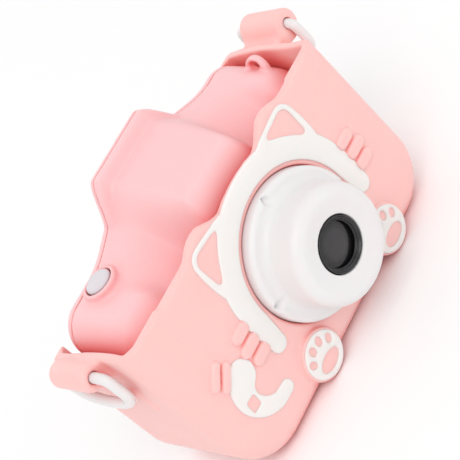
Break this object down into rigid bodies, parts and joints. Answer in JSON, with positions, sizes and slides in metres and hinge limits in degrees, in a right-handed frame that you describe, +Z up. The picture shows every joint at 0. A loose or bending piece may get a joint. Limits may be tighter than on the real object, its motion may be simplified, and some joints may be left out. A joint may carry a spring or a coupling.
{
  "type": "kids digital camera",
  "caption": "Small toy digital camera in a soft silicone cat case with a raised lens, a top shutter button, a rear screen with keys, and a swinging strap ring on each side.",
  "frame": {"origin": "centre of the case's flat underside, where it stands on a table", "axes": "+X to the right seen from the front, along the width; the lens looks along -Y; +Z up"},
  "size_m": [0.1165, 0.0531, 0.0708],
  "materials": {
    "case_silicone": "soft pink silicone, satin",
    "white_silicone": "soft white silicone, satin",
    "shell_plastic": "pink ABS, satin",
    "white_plastic": "white ABS, satin",
    "button_grey": "pale grey ABS, satin",
    "black_plastic": "black, low gloss",
    "clear_window": "dark clear acrylic",
    "circuit_board": "green solder mask",
    "screw_steel": "plated steel",
    "battery_foil": "foil pouch"
  },
  "bodies": {
    "camera": {"silicone_case": "case_silicone", "head_band_inlay": "white_silicone", "tail_inlay": "white_silicone", "paw_inlay_left": "white_silicone", "paw_inlay_right": "white_silicone", "front_shell": "shell_plastic", "rear_cover": "shell_plastic", "cover_screw_1": "screw_steel", "cover_screw_2": "screw_steel", "cover_screw_3": "screw_steel", "cover_screw_4": "screw_steel", "lens_bezel": "white_plastic", "lens_hood": "black_plastic", "lens_window": "clear_window", "front_camera_module": "black_plastic", "shutter_switch": "black_plastic", "shutter_board": "circuit_board", "display_panel": "black_plastic", "screen_window": "clear_window", "dome_switch_ok": "screw_steel", "dome_switch_up": "screw_steel", "dome_switch_down": "screw_steel", "dome_switch_left": "screw_steel", "dome_switch_right": "screw_steel", "dome_switch_mode": "screw_steel", "dome_switch_power": "screw_steel", "keypad_membrane": "white_silicone", "key_board": "circuit_board", "rear_camera_window": "clear_window", "rear_camera_module": "black_plastic", "main_board": "circuit_board", "battery": "battery_foil", "speaker": "black_plastic", "microphone": "black_plastic", "usb_socket": "screw_steel", "card_socket": "screw_steel"},
    "left_ring": {"strap_ring_left": "white_plastic"},
    "right_ring": {"strap_ring_right": "white_plastic"},
    "shutter": {"shutter_button": "button_grey"},
    "ok": {"key_ok": "shell_plastic"},
    "up": {"key_up": "white_plastic"},
    "down": {"key_down": "white_plastic"},
    "left": {"key_left": "white_plastic"},
    "right": {"key_right": "white_plastic"},
    "mode": {"key_mode": "white_plastic"},
    "power": {"key_power": "white_plastic"}
  },
  "joints": [
    {"name": "left_ring_swing", "type": "hinge", "parent": "camera", "child": "left_ring", "pos_m": [-0.0524, 0, 0.0532], "axis": [0, 1, 0], "range_deg": [-3, 180]},
    {"name": "right_ring_swing", "type": "hinge", "parent": "camera", "child": "right_ring", "pos_m": [0.0562, 0, 0.0542], "axis": [0, -1, 0], "range_deg": [-10, 180]},
    {"name": "shutter_press", "type": "slide", "parent": "camera", "child": "shutter", "axis": [0, 0, -1], "range_m": [0, 0.0008], "stiffness_N_per_m": 400, "springref_m": -0.0004},
    {"name": "ok_press", "type": "slide", "parent": "camera", "child": "ok", "axis": [0, -1, 0], "range_m": [0, 0.0006], "stiffness_N_per_m": 400, "springref_m": -0.0004},
    {"name": "up_press", "type": "slide", "parent": "camera", "child": "up", "axis": [0, -1, 0], "range_m": [0, 0.0006], "stiffness_N_per_m": 400, "springref_m": -0.0004},
    {"name": "down_press", "type": "slide", "parent": "camera", "child": "down", "axis": [0, -1, 0], "range_m": [0, 0.0006], "stiffness_N_per_m": 400, "springref_m": -0.0004},
    {"name": "left_press", "type": "slide", "parent": "camera", "child": "left", "axis": [0, -1, 0], "range_m": [0, 0.0006], "stiffness_N_per_m": 400, "springref_m": -0.0004},
    {"name": "right_press", "type": "slide", "parent": "camera", "child": "right", "axis": [0, -1, 0], "range_m": [0, 0.0006], "stiffness_N_per_m": 400, "springref_m": -0.0004},
    {"name": "mode_press", "type": "slide", "parent": "camera", "child": "mode", "axis": [0, -1, 0], "range_m": [0, 0.0006], "stiffness_N_per_m": 400, "springref_m": -0.0004},
    {"name": "power_press", "type": "slide", "parent": "camera", "child": "power", "axis": [0, -1, 0], "range_m": [0, 0.0006], "stiffness_N_per_m": 400, "springref_m": -0.0004}
  ]
}
